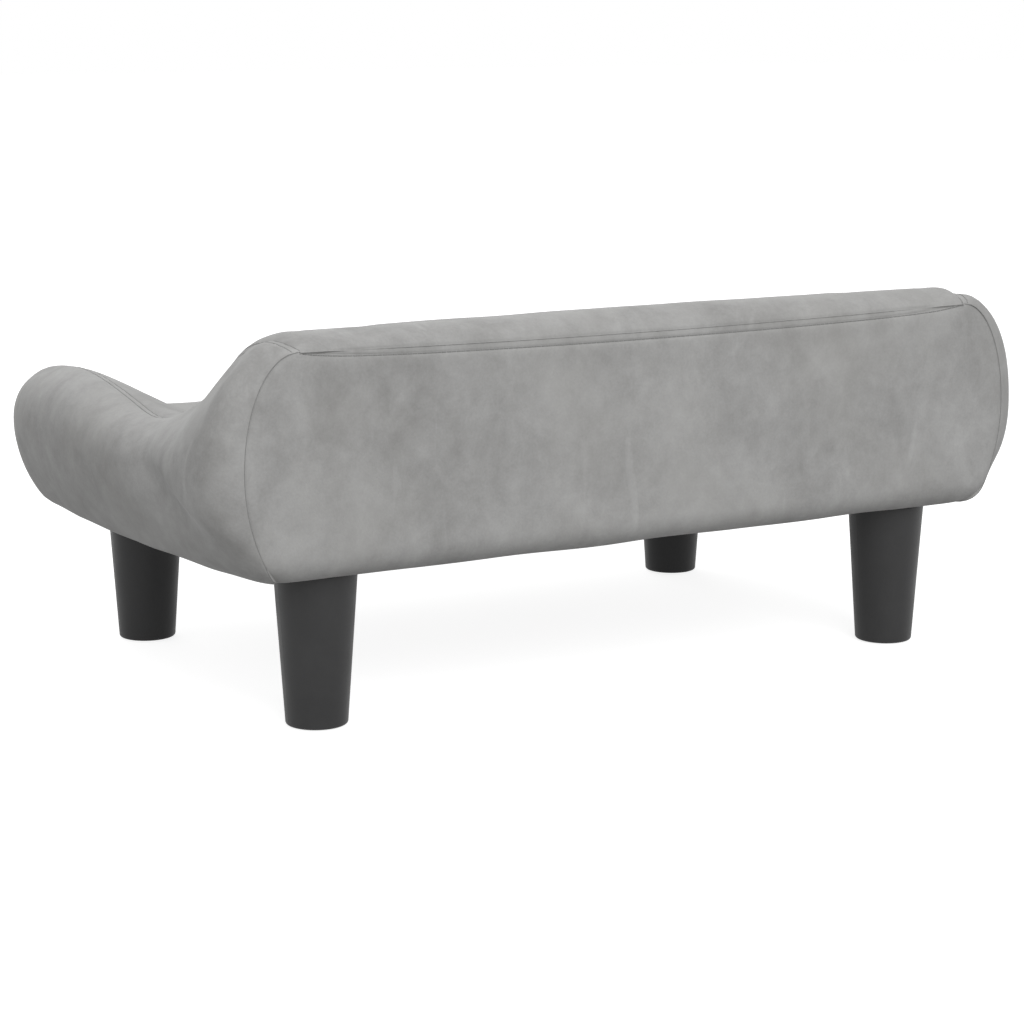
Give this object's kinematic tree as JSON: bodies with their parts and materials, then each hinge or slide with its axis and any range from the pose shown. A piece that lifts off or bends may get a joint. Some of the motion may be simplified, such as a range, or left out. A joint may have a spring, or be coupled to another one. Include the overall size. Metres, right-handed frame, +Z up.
{
  "type": "dog bed",
  "caption": "Small upholstered sofa bed for a dog: low back with rounded ends, padded wings with rounded noses, cushioned seat and tapered round legs.",
  "frame": {"origin": "on the floor under the middle of the bed's box, halfway between the wings and between the back face and the noses", "axes": "+Z up, front faces -Y, the wing at the left edge of the picture is on +X"},
  "size_m": [0.6998, 0.45, 0.2812],
  "materials": {
    "velvet": "short pile velvet, light grey, slightly mottled",
    "foam": "open-cell upholstery foam",
    "underlining": "thin black non-woven cloth",
    "plywood": "raw birch plywood",
    "leg_plastic": "matt black",
    "glide_plastic": "matt black",
    "zinc_steel": "zinc-plated"
  },
  "bodies": {
    "root": {"rear_pad": "velvet", "back_strip": "velvet", "back_pad": "velvet", "right_side_pad": "velvet", "left_side_pad": "velvet", "right_wing_strip": "velvet", "left_wing_strip": "velvet", "right_wing_lining": "velvet", "left_wing_lining": "velvet", "seat_cover": "velvet", "front_pad": "velvet", "seat_foam": "foam", "dust_cover": "underlining", "back_board": "plywood", "right_wing_board": "plywood", "left_wing_board": "plywood", "base_panel": "plywood", "front_rail": "plywood", "rear_rail": "plywood", "right_rail": "plywood", "left_rail": "plywood", "centre_rail": "plywood", "seat_deck": "plywood", "front_left_leg": "leg_plastic", "front_right_leg": "leg_plastic", "rear_left_leg": "leg_plastic", "rear_right_leg": "leg_plastic", "front_left_glide": "glide_plastic", "front_right_glide": "glide_plastic", "rear_left_glide": "glide_plastic", "rear_right_glide": "glide_plastic", "leg_bolts": "zinc_steel", "leg_nuts": "zinc_steel", "base_screws": "zinc_steel", "deck_screws": "zinc_steel", "wing_screws": "zinc_steel", "back_screws": "zinc_steel"}
  },
  "joints": []
}
